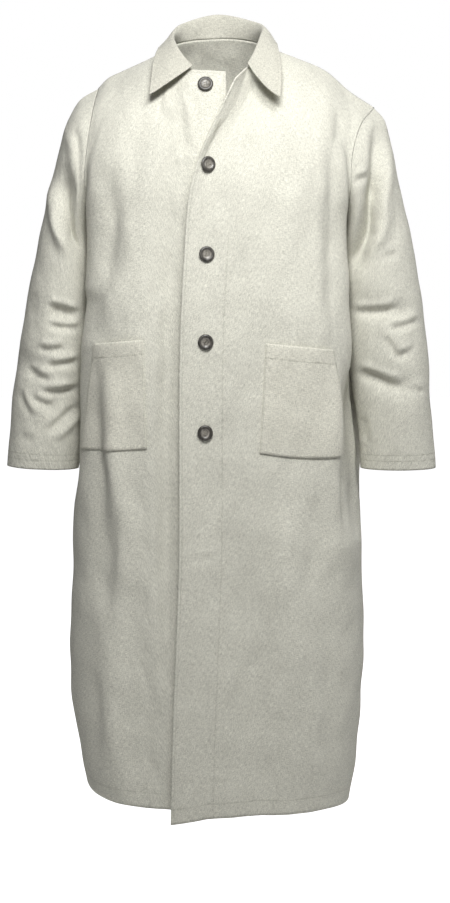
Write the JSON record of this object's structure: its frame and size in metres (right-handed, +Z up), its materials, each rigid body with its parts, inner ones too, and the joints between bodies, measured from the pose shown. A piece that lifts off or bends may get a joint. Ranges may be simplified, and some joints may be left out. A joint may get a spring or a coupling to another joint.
{
  "type": "duster coat",
  "caption": "Long loose single-breasted duster coat of heathered linen-cotton cloth with a turned-down collar, patch pockets and a buttoned closing, open and hollow.",
  "frame": {"origin": "middle of the neck opening at the height of the shoulder seams' neck ends, where the coat is worn", "axes": "+Z up, the front faces -Y, +X towards the wearer's left"},
  "size_m": [0.7205, 0.3692, 1.3237],
  "materials": {
    "coat_cloth": "matte heathered natural linen-cotton weave",
    "pocket_cloth": "matte heathered natural linen-cotton weave",
    "collar_cloth": "matte heathered natural linen-cotton weave",
    "button_horn": "mottled dark horn, half gloss"
  },
  "bodies": {
    "root": {"front_right": "coat_cloth", "front_left": "coat_cloth", "back": "coat_cloth", "sleeve_right": "coat_cloth", "sleeve_left": "coat_cloth", "collar": "collar_cloth", "pocket_right": "pocket_cloth", "pocket_left": "pocket_cloth", "button_1": "button_horn", "button_2": "button_horn", "button_3": "button_horn", "button_4": "button_horn", "button_5": "button_horn"}
  },
  "joints": []
}
